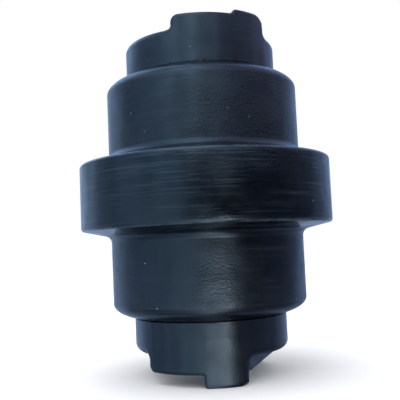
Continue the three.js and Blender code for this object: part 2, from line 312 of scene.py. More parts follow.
def turningMarksGroup():
    # fine rings left by the lathe: noise that is long round the axis and short along it
    group, given, out = newGroup("turningMarks", [("Vector", "Vector", None), ("Lines", "Float", 1.0)],
                                 [("Height", "Float"), ("Grooves", "Float")])
    vector = given.outputs["Vector"]
    fine = noise(group, stretched(group, vector, marks["fine"]), 1.0, 3.0, 0.65)
    broad = noise(group, stretched(group, vector, marks["broad"], marks["broadPlace"]), 1.0, 2.0, 0.5)
    patch = noise(group, stretched(group, vector, marks["patch"], marks["patchPlace"]), 1.0, 2.0)
    worn = ramped(group, patch, *marks["patchRange"])
    grooves = math2(group, "MULTIPLY", ramped(group, fine, *marks["grooveRange"]), worn)
    group.links.new(grooves, out.inputs["Grooves"])
    both = math2(group, "ADD", math2(group, "MULTIPLY", fine, marks["fineShare"]),
                 math2(group, "MULTIPLY", broad, marks["broadShare"]))
    group.links.new(math2(group, "MULTIPLY", both, given.outputs["Lines"]), out.inputs["Height"])
    return group


skinLook = {"peelScale": 820.0, "patchScale": 19.0, "patchRange": (0.42, 0.62), "patchPeel": (0.35, 1.3),
            "waveScale": 70.0}


def paintSkinGroup():
    # orange peel everywhere, coarser in patches, over slow waves where the paint ran
    group, given, out = newGroup("paintSkin", [("Vector", "Vector", None), ("Peel", "Float", 1.0),
                                               ("Waves", "Float", 1.0)], [("Height", "Float")])
    vector = given.outputs["Vector"]
    peel = noise(group, vector, skinLook["peelScale"], 2.0, 0.55)
    patches = ramped(group, noise(group, vector, skinLook["patchScale"], 1.0), *skinLook["patchRange"],
                     *skinLook["patchPeel"])
    waves = noise(group, vector, skinLook["waveScale"], 1.0, 0.4)
    peelHeight = math2(group, "MULTIPLY", math2(group, "MULTIPLY", peel, patches), given.outputs["Peel"])
    waveHeight = math2(group, "MULTIPLY", waves, given.outputs["Waves"])
    group.links.new(math2(group, "ADD", peelHeight, waveHeight), out.inputs["Height"])
    return group


dustLook = {"cellScale": 190.0, "speckEdge": (0.04, 0.085), "filmScale": 34.0, "filmRange": (0.35, 0.75),
            "facingUp": (-0.2, 1.0), "leastFilm": 0.25, "hairTurn": (0.5, 0.35, 1.1),
            "hairStretch": (60, 900, 400), "hairRange": (0.735, 0.765), "hairPatchScale": 28.0,
            "hairPatchRange": (0.6, 0.68)}


def dustGroup():
    # sparse pale specks, a thin film of dust that lies thicker on faces that look up, and hairline scratches
    group, given, out = newGroup("shopDust", [("Vector", "Vector", None), ("Specks", "Float", 0.5)],
                                 [("Specks", "Float"), ("Film", "Float"), ("Scratches", "Float")])
    vector = given.outputs["Vector"]
    cells = addNode(group, "TexVoronoi", {"feature": "F1"}, Vector=vector, Scale=dustLook["cellScale"])
    near = ramped(group, cells.outputs["Distance"], *dustLook["speckEdge"], 1.0, 0.0)
    drawn = addNode(group, "SeparateColor", None, Color=cells.outputs["Color"]).outputs[0]
    picked = math2(group, "GREATER_THAN", drawn, given.outputs["Specks"])
    group.links.new(math2(group, "MULTIPLY", near, picked), out.inputs["Specks"])
    up = addNode(group, "SeparateXYZ", None, i0=addNode(group, "NewGeometry").outputs["Normal"]).outputs[2]
    settled = ramped(group, noise(group, vector, dustLook["filmScale"], 4.0, 0.6), *dustLook["filmRange"])
    film = math2(group, "MULTIPLY", settled,
                 ramped(group, up, *dustLook["facingUp"], dustLook["leastFilm"], 1.0))
    group.links.new(film, out.inputs["Film"])
    tilted = addNode(group, "Mapping", None, Vector=vector, Rotation=dustLook["hairTurn"],
                     Scale=dustLook["hairStretch"])
    hair = ramped(group, noise(group, tilted.outputs[0], 1.0, 1.0), *dustLook["hairRange"])
    where = ramped(group, noise(group, vector, dustLook["hairPatchScale"], 0.0), *dustLook["hairPatchRange"])
    group.links.new(math2(group, "MULTIPLY", hair, where), out.inputs["Scratches"])
    return group


grainLook = {"stretch": (40, 40, 1500), "toneScale": 110.0, "toneRange": (0.3, 0.7)}


def grainGroup():
    # ground or turned bare metal: fine streaks round the axis over a slow change of tone
    group, given, out = newGroup("metalGrain", [("Vector", "Vector", None)],
                                 [("Height", "Float"), ("Tone", "Float")])
    vector = given.outputs["Vector"]
    streaks = noise(group, stretched(group, vector, grainLook["stretch"]), 1.0, 3.0, 0.6)
    group.links.new(streaks, out.inputs["Height"])
    tone = ramped(group, noise(group, vector, grainLook["toneScale"], 3.0), *grainLook["toneRange"])
    group.links.new(tone, out.inputs["Tone"])
    return group


# how the highlight painted along a ring breaks into patches
rimHighlightLook = {"patchScale": 130.0, "patchRange": (0.35, 0.6), "leastHighlight": 0.25, "fade": (1.0, 0.5)}


def paintedRimHighlightGroup():
    # a highlight painted along one ring, broken into patches, given by its radius and its height on either
    # side of the middle
    group, given, out = newGroup("paintedRimHighlight", [("Vector", "Vector", None), ("Radius", "Float", 0.05),
                                             ("Height", "Float", 0.05), ("Reach", "Float", 0.001)],
                                 [("Mask", "Float"), ("Radius", "Float")])
    vector = given.outputs["Vector"]
    flat = addNode(group, "VectorMath", {"operation": "MULTIPLY"}, i0=vector, i1=(1, 1, 0)).outputs[0]
    radius = addNode(group, "VectorMath", {"operation": "LENGTH"}, i0=flat).outputs["Value"]
    height = math2(group, "ABSOLUTE", addNode(group, "SeparateXYZ", None, i0=vector).outputs[2])
    outward = math2(group, "SUBTRACT", radius, given.outputs["Radius"])
    along = math2(group, "SUBTRACT", height, given.outputs["Height"])
    square = math2(group, "ADD", math2(group, "MULTIPLY", outward, outward),
                   math2(group, "MULTIPLY", along, along))
    near = math2(group, "DIVIDE", math2(group, "SQRT", square), given.outputs["Reach"])
    patchy = ramped(group, noise(group, vector, rimHighlightLook["patchScale"], 3.0, 0.6), *rimHighlightLook["patchRange"],
                    rimHighlightLook["leastHighlight"], 1.0)
    mask = math2(group, "MULTIPLY", ramped(group, near, *rimHighlightLook["fade"]), patchy)
    group.links.new(mask, out.inputs["Mask"])
    group.links.new(radius, out.inputs["Radius"])
    return group


groups = {"turning": turningMarksGroup(), "skin": paintSkinGroup(), "dust": dustGroup(),
          "grain": grainGroup(), "rimHighlight": paintedRimHighlightGroup()}


# Materials

def startMaterial(name):
    material = bpy.data.materials.new(name)
    material.use_nodes = True
    tree = material.node_tree
    shader = tree.nodes["Principled BSDF"]
    return material, tree, shader, addNode(tree, "TexCoord").outputs["Object"]


def placeGroup(tree, name, **values):
    return addNode(tree, "Group", {"node_tree": groups[name]}, **values).outputs


def blendColours(tree, share, a, b):
    # a and b are sockets or colours of three values
    a, b = ((*c, 1) if isinstance(c, tuple) else c for c in (a, b))
    return addNode(tree, "Mix", {"data_type": "RGBA"}, i0=share, i6=a, i7=b).outputs[2]


def bumpFrom(tree, shader, height, distance):
    bump = addNode(tree, "Bump", None, Height=height, Distance=distance * mm, Strength=1.0)
    tree.links.new(bump.outputs[0], shader.inputs["Normal"])


def enamelMaterial(name, look):
    # gloss black machine paint, with what is under it and what has settled on it, and a highlight painted
    # along one edge ring
    material, tree, shader, place = startMaterial(name)
    # the ring mask paints a highlight into the colour; its radius also feeds the coarse mask below
    rimHighlight = placeGroup(tree, "rimHighlight", Vector=place, Radius=look["rimRadius"] * mm, Height=look["rimHeight"] * mm,
                     Reach=look["rimReach"] * mm)
    # coarse grows from 0 to 1 between two radii: rougher turning on the flange, cast skin on the collars
    coarse = ramped(tree, rimHighlight["Radius"], look["coarseFrom"] * mm, look["coarseTo"] * mm)
    turning = placeGroup(tree, "turning", Vector=place, Lines=look["lines"])
    skin = placeGroup(tree, "skin", Vector=place, Peel=look["peel"], Waves=look["waves"])["Height"]
    dust = placeGroup(tree, "dust", Vector=place, Specks=look["fewSpecks"])
    colour = ramped(tree, noise(tree, place, look["toneScale"], 3.0), *look["toneRange"])
    colour = blendColours(tree, colour, look["deep"], look["worn"])
    bare = ramped(tree, coarse, 0.0, 1.0, look["grooves"], look["grooves"] + look["coarseLines"] / 2)
    grooves = math2(tree, "MULTIPLY", turning["Grooves"], bare)
    film = math2(tree, "MULTIPLY", dust["Film"], look["film"])
    scratches = math2(tree, "MULTIPLY", dust["Scratches"], look["scratches"])
    # the ring's tint is a painted highlight; grooves, dust film, scratches and specks are the paint's own
    # marks
    for mask, tint in ((grooves, "groove"), (rimHighlight["Mask"], "rimHighlight"), (film, "dust"), (scratches, "scratch"),
                       (dust["Specks"], "speck")):
        colour = blendColours(tree, mask, colour, look[tint])
    tree.links.new(colour, shader.inputs["Base Color"])
    uneven = noise(tree, place, look["roughScale"], 4.0, 0.6)
    rough = ramped(tree, uneven, *look["roughRange"], *look["rough"])
    rough = math2(tree, "ADD", rough, math2(tree, "MULTIPLY", dust["Specks"], look["speckRough"]))
    rough = math2(tree, "ADD", rough, math2(tree, "MULTIPLY", coarse, look["castRough"]))
    tree.links.new(rough, shader.inputs["Roughness"])
    lines = ramped(tree, coarse, 0.0, 1.0, 1.0, 1.0 + look["coarseLines"])
    height = math2(tree, "ADD", math2(tree, "MULTIPLY", turning["Height"], lines), skin)
    height = math2(tree, "SUBTRACT", height, scratches)
    cast = math2(tree, "MULTIPLY", noise(tree, place, look["castScale"], 3.0, 0.6), look["castBump"])
    height = math2(tree, "ADD", height, math2(tree, "MULTIPLY", cast, coarse))
    bumpFrom(tree, shader, height, look["bump"])
    shader.inputs["IOR"].default_value = look["ior"]
    return material


def metalMaterial(name, look):
    material, tree, shader, place = startMaterial(name)
    grain = placeGroup(tree, "grain", Vector=place)
    colour = blendColours(tree, grain["Tone"], look["dark"], look["light"])
    tree.links.new(colour, shader.inputs["Base Color"])
    rough = ramped(tree, grain["Tone"], 0.0, 1.0, *reversed(look["rough"]))
    tree.links.new(rough, shader.inputs["Roughness"])
    bumpFrom(tree, shader, grain["Height"], look["bump"])
    shader.inputs["Metallic"].default_value = 1.0
    return material


def rubberMaterial(name, look):
    material, tree, shader, place = startMaterial(name)
    bloom = ramped(tree, noise(tree, place, look["bloomScale"], 4.0, 0.6), *look["bloomRange"])
    tree.links.new(blendColours(tree, bloom, look["dark"], look["bloom"]), shader.inputs["Base Color"])
    tree.links.new(ramped(tree, bloom, 0.0, 1.0, *look["rough"]), shader.inputs["Roughness"])
    bumpFrom(tree, shader, noise(tree, place, look["grainScale"], 2.0), look["bump"])
    return material


# Colours are linear. Lengths are in millimetres; scales are per metre.
shellPaint = {"deep": (0.0010, 0.0019, 0.0034), "worn": (0.0034, 0.0052, 0.0080),
              "toneScale": 24.0, "toneRange": (0.35, 0.68), "roughScale": 55.0, "roughRange": (0.3, 0.72),
              "speckRough": 0.4, "castScale": 420.0, "dust": (0.055, 0.065, 0.08),
              "speck": (0.42, 0.45, 0.5), "scratch": (0.2, 0.23, 0.28), "film": 0.03, "scratches": 0.25,
              "groove": (0.014, 0.021, 0.029), "grooves": 0.4, "fewSpecks": 0.965, "rough": (0.19, 0.32),
              "ior": 1.5, "lines": 0.55, "peel": 2.6, "waves": 8.0, "bump": 0.045,
              # the ring colour is a highlight painted along the flange's rounded edge
              "rimHighlight": (0.022, 0.030, 0.040), "rimRadius": 69.6, "rimHeight": 17.7, "rimReach": 1.1,
              "coarseFrom": 56.0, "coarseTo": 62.0, "coarseLines": 1.0, "castRough": -0.1, "castBump": 0.0}
collarPaint = {**shellPaint, "lines": 0.6, "grooves": 0.2, "peel": 1.1, "waves": 7.0, "scratches": 0.6,
               "rough": (0.15, 0.27), "fewSpecks": 0.98,
               # on the collars the painted highlight runs along the ring where the tread's end meets the
               # collar
               "rimRadius": 42.1, "rimHeight": 65.2, "rimReach": 0.8,
               "coarseFrom": 41.9, "coarseTo": 41.2, "coarseLines": 0.0, "castRough": 0.26, "castBump": 4.0}
metals = {
    "shaft_steel": {"dark": (0.24, 0.25, 0.26), "light": (0.42, 0.43, 0.44), "rough": (0.24, 0.42),
                    "bump": 0.004},
    "plug_steel": {"dark": (0.3, 0.3, 0.28), "light": (0.5, 0.5, 0.47), "rough": (0.3, 0.5),
                   "bump": 0.003},
    "pin_steel": {"dark": (0.05, 0.055, 0.062), "light": (0.12, 0.13, 0.14), "rough": (0.32, 0.5),
                  "bump": 0.004},
    "seal_iron": {"dark": (0.2, 0.2, 0.21), "light": (0.36, 0.36, 0.37), "rough": (0.14, 0.3),
                  "bump": 0.002},
    "bronze": {"dark": (0.3, 0.16, 0.05), "light": (0.5, 0.3, 0.11), "rough": (0.25, 0.42), "bump": 0.004},
    "copper": {"dark": (0.42, 0.16, 0.08), "light": (0.62, 0.28, 0.15), "rough": (0.25, 0.4), "bump": 0.003},
}
rubber = {"dark": (0.01, 0.01, 0.01), "bloom": (0.03, 0.03, 0.032), "rough": (0.5, 0.75), "bump": 0.01,
          "bloomScale": 90.0, "bloomRange": (0.35, 0.75), "grainScale": 1600.0}
materials = {name: enamelMaterial(name, look)
             for name, look in (("black_enamel", shellPaint), ("collar_enamel", collarPaint))}
materials.update({name: metalMaterial(name, look) for name, look in metals.items()})
materials["nitrile_rubber"] = rubberMaterial("nitrile_rubber", rubber)
print("materials made")


# Roller shell

shell = {"flangeWidth": 36.2, "flangeCorner": 1.8, "flangeSlope": 12.5, "treadRadius": 53.6,
         "rootFillet": 4.2, "treadEndDrop": 8.9, "endFaceWall": 1.2, "mouthDepth": 1.7,
         "bushingFlange": 3.0, "bushingWall": 4.4, "reservoir": 28.0, "reservoirDepth": 3.0, "edge": 0.4,
         "edgeSteps": 4, "cornerSteps": 7, "rootSteps": 16, "endSteps": 28, "turns": 320, "longestStep": 2.4}


def treadEndHeight(radius):
    # the rounded end of the treads, an ellipse quarter that ends in the flat ring round the seal's cavity
    endFace, drop = cavityMouthRadius + shell["endFaceWall"], shell["treadEndDrop"]
    share = np.clip((radius - endFace) / (shell["treadRadius"] - endFace), 0, 1)
    return shellEnd - drop + drop * np.sqrt(1 - share ** 2)


def shellProfile():
    # half the section from the flange's rim to the shell's end, its inside walls, and the same mirrored
    endFace = cavityMouthRadius + shell["endFaceWall"]
    corner, fillet, drop = shell["flangeCorner"], shell["rootFillet"], shell["treadEndDrop"]
    slope, share = math.radians(shell["flangeSlope"]), shell["flangeSlope"] / 90
    cornerMiddle = (flangeRadius - corner, shell["flangeWidth"] / 2 - corner)
    sideRadius = cornerMiddle[0] + corner * math.sin(slope)
    sideHeight = cornerMiddle[1] + corner * math.cos(slope)
    rootRadius = shell["treadRadius"] + fillet
    rootHeight = sideHeight + (fillet + (sideRadius - rootRadius) * math.sin(slope)) / math.cos(slope)
    outside = np.vstack((
        arcPoints(cornerMiddle, corner, corner, 0, 1 - share, shell["cornerSteps"]),
        arcPoints((rootRadius, rootHeight), fillet, fillet, 3 - share, 2, shell["rootSteps"]),
        arcPoints((endFace, shellEnd - drop), shell["treadRadius"] - endFace, drop, 0, 1, shell["endSteps"]),
    ))
    boreWall = boreRadius + shell["bushingWall"] + fits["gap"]
    counterbore = bushingFlangeRadius + fits["gap"]
    counterFloor = cavityFloor - shell["bushingFlange"] - fits["gap"]
    halfOil, oilWall = shell["reservoir"] / 2, boreWall + shell["reservoirDepth"]
    inside = np.array((
        (cavityMouthRadius, shellEnd), (cavityMouthRadius, shellEnd - shell["mouthDepth"]),
        (cavityFloorRadius, cavityFloor), (counterbore, cavityFloor), (counterbore, counterFloor),
        (boreWall, counterFloor), (boreWall, halfOil), (oilWall, halfOil - shell["reservoirDepth"]),
    ))
    mirror = np.array((1, -1))
    # two outer corners close the outline for the rounding and are then left out
    outer = [(flangeRadius, -shellEnd), (flangeRadius, shellEnd)]
    corners = np.vstack((inside, inside[::-1] * mirror, outer))
    rounded = roundedCorners(corners, shell["edge"], shell["edgeSteps"])
    hollow = rounded[:2 * len(inside) * (shell["edgeSteps"] + 1)]
    return finerLine(np.vstack((outside, hollow, outside[::-1] * mirror)), shell["longestStep"])


points, faces = turnedSurface(shellProfile(), shell["turns"])
makePiece("roller_shell_body", points, faces, "roller", "black_enamel", ("roller_shell",))
print("shell made", len(faces))


# End collars

# The ease values are where a rounding starts to grow and where it is whole, along or across the tenon
collar = {"radius": 42.13, "face": 67.0, "cavityFloor": 75.6, "end": 92.0, "rimRound": 1.7, "faceGap": 0.15,
          "faceEdge": 0.35, "hubRadius": 25.0, "flatSide": 28.8, "edgeAngle": 34.0, "lean": 15.0,
          "padStart": 19.0, "baseFillet": 2.0, "topEdge": 1.3, "leftTopRound": 4.0, "lugWidth": 20.6,
          "lugDepth": 15.0, "noseEnd": 58.1, "boltRadius": 6.35, "boltReach": 17.0, "boltHeight": 82.5,
          "boltFloor": 19.0, "sinkRadius": 6.9, "pinHole": 3.3, "planFillet": 1.5, "lugFillet": 0.9,
          "leftEase": (2, 10), "frontEase": (12, 20), "lugEase": (14, 22), "lugBackEase": 3,
          "shoulderEase": (-1.5, 3.5), "cavityEdge": 0.7, "noseInset": 4, "noseFillet": 0.8, "boreEdge": 0.8,
          "flatEdge": 0.9, "pinHoleEdge": 0.5, "cell": 0.6}
collarEnds = {
    "upper": {"azimuth": 13.5, "lugHeight": 2.4, "lugInnerRound": 3.0, "lugOuterRound": 6.2,
              "shoulder": 84.5, "shoulderRound": 3.3, "shoulderTilt": -0.018},
    "lower": {"azimuth": -18.4, "lugHeight": 6.4, "lugInnerRound": 1.6, "lugOuterRound": 4.6,
              "shoulder": 84.5, "shoulderRound": 4.5, "shoulderTilt": 0.014},
}


def collarField(own):
    # Distance-like function of the collar, below zero in its metal. A plateau with a filleted foot stands on
    # the shoulder: its plan is a tenon with one straight and one leaning side, a hub and a pad, joined. The
    # rim, the seal's cavity, the bore, the mounting flat and its holes are then cut from it.
    turn, lean = math.radians(own["azimuth"]), math.radians(collar["lean"])
    edge = math.radians(collar["edgeAngle"])
    edgeX, edgeY = -collar["radius"] * math.sin(edge), -collar["radius"] * math.cos(edge)
    lugLeft, lugBack = collar["flatSide"] - collar["lugWidth"], collar["lugDepth"] - collar["radius"]

    def field(x, y, z):
        radius = np.hypot(x, y)
        acrossX = x * math.cos(turn) + y * math.sin(turn)
        acrossY = y * math.cos(turn) - x * math.sin(turn)
        leftSide = (edgeX - acrossX) * math.cos(lean) + (acrossY - edgeY) * math.sin(lean)
        tenon = np.maximum(leftSide, acrossX - collar["flatSide"])
        plan = roundMin(tenon, radius - collar["hubRadius"], collar["planFillet"])
        plan = roundMin(plan, collar["padStart"] - y, collar["planFillet"])
        top = z - collar["end"]
        lug = roundMax(top - own["lugHeight"], lugLeft - acrossX, own["lugInnerRound"])
        lug = roundMax(lug, acrossY - lugBack, own["lugInnerRound"])
        top = roundMin(top, lug, collar["lugFillet"])
        atLeft = easeBetween(-acrossX, *collar["leftEase"]) * easeBetween(-acrossY, *collar["frontEase"])
        backEase = (-lugBack - collar["lugBackEase"], -lugBack + collar["lugBackEase"])
        atLug = easeBetween(acrossX, *collar["lugEase"]) * easeBetween(-acrossY, *backEase)
        topRound = collar["topEdge"] + (collar["leftTopRound"] - collar["topEdge"]) * atLeft
        topRound = topRound + (own["lugOuterRound"] - collar["topEdge"]) * atLug
        plateau = roundMax(plan, top, topRound)
        body = roundMin(z - own["shoulder"] - own["shoulderTilt"] * x, plateau, collar["baseFillet"])
        low = easeBetween(plan, *collar["shoulderEase"])
        rimRound = collar["rimRound"] + (own["shoulderRound"] - collar["rimRound"]) * low
        body = roundMax(body, radius - collar["radius"], rimRound)
        body = roundMax(body, treadEndHeight(radius) + collar["faceGap"] - z, collar["faceEdge"])
        taperLength = collar["cavityFloor"] - collar["face"] - shell["mouthDepth"]
        taper = (cavityMouthRadius - cavityFloorRadius) / taperLength
        wall = np.minimum(cavityMouthRadius, cavityFloorRadius + (collar["cavityFloor"] - z) * taper)
        body = roundMax(body, -np.maximum(radius - wall, z - collar["cavityFloor"]), collar["cavityEdge"])
        nose = np.maximum(radius - noseRadius, collar["noseEnd"] - z)
        nose = np.maximum(nose, z - own["shoulder"] + collar["noseInset"])
        body = roundMin(body, nose, collar["noseFillet"])
        body = roundMax(body, boreRadius - radius, collar["boreEdge"])
        body = roundMax(body, y - mountFlat, collar["flatEdge"])
        boltWay = np.hypot(np.abs(x) - collar["boltReach"], z - collar["boltHeight"])
        sink = np.maximum(collar["boltRadius"], collar["sinkRadius"] + (y - mountFlat))
        body = np.maximum(body, -np.maximum(boltWay - sink, collar["boltFloor"] - y))
        pinWay = np.hypot(x, z - pinHeight) - collar["pinHole"]
        return roundMax(body, -np.maximum(pinWay, -y), collar["pinHoleEdge"])

    return field


def makeCollar(end, values):
    field = collarField(values)
    reach, pad = collar["radius"], 2 * collar["cell"]
    low = (-reach - pad, -reach - pad, collar["noseEnd"] - pad)
    high = (reach + pad, mountFlat + pad, collar["end"] + values["lugHeight"] + pad)
    points, faces = solidSurface(field, low, high, collar["cell"])
    name = end + "_end_collar"
    makePiece(name + "_body", points, faces, "axle", "collar_enamel", (name,), field, end == "lower")
    print(end, "collar made", len(faces))


for end, values in collarEnds.items():
    makeCollar(end, values)


# Shaft, oil plug, pins and tapped holes

shaft = {"chamfer": 1.2, "grooveHalf": 1.2, "grooveFloor": 16.9, "grooveEdge": 0.3, "plugBore": 6.9,
         "plugSeat": 80.1, "plugEdge": 0.4, "gallery": 3.0, "crossDrill": 2.6, "pinFloor": 9.3,
         "centreRadius": 4.2, "centreSlope": 0.58, "centreDepth": 20, "cell": 0.8}
plug = {"flats": 6.0, "socketDepth": 5.0, "socketEdge": 0.25, "length": 7.4, "edge": 0.5, "cell": 0.26}
washer = {"hole": 3.4, "edge": 0.12, "turns": 96}
pin = {"inner": 9.6, "chamfer": 0.5, "recess": 0.8, "longestStep": 1.5, "turns": 64}
thread = {"crest": 5.1, "depth": 0.95, "pitch": 1.75, "outer": 6.3, "start": 19.3, "end": 32.6, "fade": 1.2,
          "stepsPerPitch": 12, "turns": 64, "sharpAngle": 80}


def shaftField(x, y, z):
    # a bar with chamfered ends, two ring grooves, the plug's bore, its oil way and the lock pins' holes
    radius, far = np.hypot(x, y), np.abs(z)
    body = roundMax(radius - shaftRadius, far - shaftEnd, shaft["chamfer"])
    groove = np.maximum(shaft["grooveFloor"] - radius, np.abs(far - oRingHeight) - shaft["grooveHalf"])
    body = roundMax(body, -groove, shaft["grooveEdge"])
    bore = np.maximum(radius - shaft["plugBore"], shaft["plugSeat"] - z)
    body = roundMax(body, -bore, shaft["plugEdge"])
    body = np.maximum(body, -np.maximum(radius - shaft["gallery"], -shaft["crossDrill"] - z))
    body = np.maximum(body, shaft["crossDrill"] - np.hypot(x, z))
    pinWay = np.hypot(x, far - pinHeight) - collar["pinHole"]
    body = np.maximum(body, -np.maximum(pinWay, shaft["pinFloor"] - y))
    cone = radius - shaft["centreRadius"] + shaft["centreSlope"] * (z + shaftEnd)
    return np.maximum(body, -np.maximum(cone, z + shaftEnd - shaft["centreDepth"]))


def plugField(x, y, z):
    # a round plug with a chamfered edge and a hexagon socket
    low = plugTop - plug["length"]
    body = roundMax(np.hypot(x, y) - plugRadius, np.maximum(z - plugTop, low - z), plug["edge"])
    turns = (0, math.pi / 3, 2 * math.pi / 3)
    flats = np.max([np.abs(x * math.cos(a) + y * math.sin(a)) for a in turns], axis=0) - plug["flats"] / 2
    socket = np.maximum(flats, plugTop - plug["socketDepth"] - z)
    return roundMax(body, -socket, plug["socketEdge"])


def makeShaft():
    pad = 2 * shaft["cell"]
    reach = np.array((shaftRadius, shaftRadius, shaftEnd)) + pad
    points, faces = solidSurface(shaftField, -reach, reach, shaft["cell"])
    makePiece("shaft_bar", points, faces, "axle", "shaft_steel", ("shaft",), shaftField)
    pad, side = 2 * plug["cell"], plugRadius + 2 * plug["cell"]
    low, high = (-side, -side, plugTop - plug["length"] - pad), (side, side, plugTop + pad)
    points, faces = solidSurface(plugField, low, high, plug["cell"])
    makePiece("oil_plug_body", points, faces, "axle", "plug_steel", ("oil_plug",), plugField)
    low, high = np.array(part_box("oil_plug_washer")) / mm
    section = ((washer["hole"], low[2]), (high[0], low[2]), (high[0], high[2]), (washer["hole"], high[2]))
    points, faces = turnedSurface(roundedCorners(section, washer["edge"]), washer["turns"])
    makePiece("oil_plug_seal_washer", points, faces, "axle", "copper", ("oil_plug_washer",))


def alongY(points, x, z):
    # turns a surface drawn round Z so that its axis lies along Y at the given place
    return points[:, (0, 2, 1)] + (x, 0, z)


def makePins(end):
    inner, outer, chamfer = pin["inner"], mountFlat - pin["recess"], pin["chamfer"]
    profile = ((0, inner), (pinRadius - chamfer, inner), (pinRadius, inner + chamfer),
               (pinRadius, outer - chamfer), (pinRadius - chamfer, outer), (0, outer))
    line = finerLine(np.array(profile, float), pin["longestStep"], False)
    points, faces = turnedSurface(line, pin["turns"], False)
    makePiece(end + "_lock_pin_body", alongY(points, 0, pinHeight), faces, "axle", "pin_steel",
              (end + "_lock_pin",), flip=end == "lower")


def threadTube():
    # inner wall, a helix: r(u, y) = crest + depth * triangle wave of (y / pitch - u / turn)
    rows = int((thread["end"] - thread["start"]) / thread["pitch"] * thread["stepsPerPitch"])
    along = np.linspace(thread["start"], thread["end"], rows)
    profile = np.vstack((np.column_stack((np.full(rows, thread["crest"]), along)),
                         np.column_stack((np.full(2, thread["outer"]), along[[-1, 0]]))))

    def helix(radius, angle, height):
        wave = np.abs((height / thread["pitch"] - angle / (2 * math.pi)) % 1 * 2 - 1)
        fade = easeBetween(height, thread["end"] - thread["fade"], thread["end"])
        cut = thread["crest"] + thread["depth"] * np.maximum(wave, fade)
        return np.where(radius < thread["outer"], cut, radius)

    return turnedSurface(profile, thread["turns"], True, helix)


def makeThreads(end):
    points, faces = threadTube()
    pair = [alongY(points, x, collar["boltHeight"]) for x in (-collar["boltReach"], collar["boltReach"])]
    makePiece(end + "_bolt_threads", np.vstack(pair), np.vstack((faces, faces + len(points))), "axle",
              "pin_steel", flip=end == "lower", sharpAngle=thread["sharpAngle"])


makeShaft()
for end in collarEnds:
    makePins(end)
    makeThreads(end)
print("shaft, plug, pins and threads made")


# Bearings and seals inside

bushing = {"inner": 16.0, "edge": 0.35, "grooveDepth": 0.5, "grooveHalf": 1.4, "grooveFlat": 0.2,
           "grooveTurns": 0.9, "grooveInset": 3, "boreWithin": 0.05, "turns": 160, "longestStep": 0.8}
seal = {"wall": 2.0, "ramp": 1.4, "length": 7.6, "lip": 2.6, "noseGap": 0.6, "edge": 0.25, "turns": 160,
        "longestStep": 1.0, "rubberSteps": 28}


def bushingSurface():
    # the bore carries one shallow oil groove that winds along it: r grows by a smooth dip across the groove
    inner, outer = bushing["inner"], boreRadius + shell["bushingWall"]
    under = cavityFloor - shell["bushingFlange"]
    section = ((boreRadius, inner), (outer, inner), (outer, under), (bushingFlangeRadius, under),
               (bushingFlangeRadius, cavityFloor), (boreRadius, cavityFloor))
    profile = finerLine(roundedCorners(section, bushing["edge"]), bushing["longestStep"])

    def grooved(radius, angle, height):
        inset = bushing["grooveInset"]
        share = (height - inner - inset) / (cavityFloor - inner - 2 * inset)
        away = (angle / (2 * math.pi) - share * bushing["grooveTurns"] + 0.5) % 1 - 0.5
        across = np.abs(away) * 2 * math.pi * boreRadius / bushing["grooveHalf"]
        depth = bushing["grooveDepth"] * (1 - easeBetween(across, bushing["grooveFlat"], 1))
        dip = depth * (share > 0) * (share < 1)
        return np.where(radius < boreRadius + bushing["boreWithin"], radius + dip, radius)

    return turnedSurface(profile, bushing["turns"], True, grooved)


def sealRingSurface(face, direction):
    # a ring that runs from its sealing face in the given direction, with a lip and a slope for the rubber
    inner = noseRadius + seal["noseGap"]
    outer = inner + seal["wall"]
    section = ((inner, 0), (sealLipRadius, 0), (sealLipRadius, seal["lip"]),
               (outer + seal["ramp"], seal["lip"]), (outer, seal["length"]), (inner, seal["length"]))
    profile = finerLine(roundedCorners(section, seal["edge"]), seal["longestStep"])
    return turnedSurface(profile * (1, direction) + (0, face), seal["turns"])


def rubberSurface(node):
    # a round section carried round the axis, its size taken from the frame's ring
    low, high = np.array(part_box(node)) / mm
    half = (high[2] - low[2]) / 2
    middle = (high[0] - half, (high[2] + low[2]) / 2)
    profile = arcPoints(middle, half, half, 0, 4, seal["rubberSteps"])[:-1]
    return turnedSurface(profile, seal["turns"])


def makeInside(end):
    flip = end == "lower"
    points, faces = bushingSurface()
    makePiece(end + "_flanged_bushing", points, faces, "roller", "bronze", (end + "_bushing",), flip=flip)
    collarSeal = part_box("upper_collar_seal_ring")[0].z / mm
    for side, face, direction, body in (("shell", shellEnd, -1, "roller"), ("collar", collarSeal, 1, "axle")):
        points, faces = sealRingSurface(face, direction)
        name = end + "_" + side
        makePiece(name + "_seal_face_ring", points, faces, body, "seal_iron", (name + "_seal_ring",),
                  flip=flip)
        points, faces = rubberSurface(name + "_toric_ring")
        makePiece(name + "_toric_rubber", points, faces, body, "nitrile_rubber", (name + "_toric_ring",))
    points, faces = rubberSurface(end + "_shaft_o_ring")
    makePiece(end + "_shaft_ring_rubber", points, faces, "axle", "nitrile_rubber", (end + "_shaft_o_ring",))


for end in collarEnds:
    makeInside(end)
print("bearings and seals made")


# Stage, light and camera

# Lengths are in metres here, the lens and its sensor in millimetres, and angles in degrees
stage = {"floorSize": 12.0, "floorColour": (0.88, 0.88, 0.88), "mottleScale": 6.0, "mottleRange": (0.3, 0.7),
         "mottleShare": 0.97, "floorRough": 0.9, "backdrop": (1.0, 1.0, 1.0), "fill": (1.16, 1.19, 1.25)}
softbox = {"place": (-0.3, -0.3, 1.5), "target": (0, 0, 0), "size": (1.6, 1.6), "power": 16.0,
           "colour": (1.0, 1.0, 1.0)}
camera = {"distance": 0.35424, "sideways": 0.00282, "height": 0.00087, "pitch": 4.406, "roll": 2.515,
          "lens": 56.0, "sensor": 36.0, "shift": (-0.0014, -0.0062), "clip": (0.01, 50.0)}
# What glossy rays see at each height, as the sine of the angle above the horizon: where one band gives way to
# the next, how bright the highest and lowest parts are, and how uneven all of it is
bands = {"toBelow": (0.01, -0.17), "toAbove": (0.13, 0.25), "toHigh": (0.29, 0.34),
         "toGround": (-0.24, -0.4), "highShare": 1.5, "groundShare": 0.55, "cloudScale": 4.5,
         "cloudRange": (0.3, 0.7), "unevenness": 0.3}
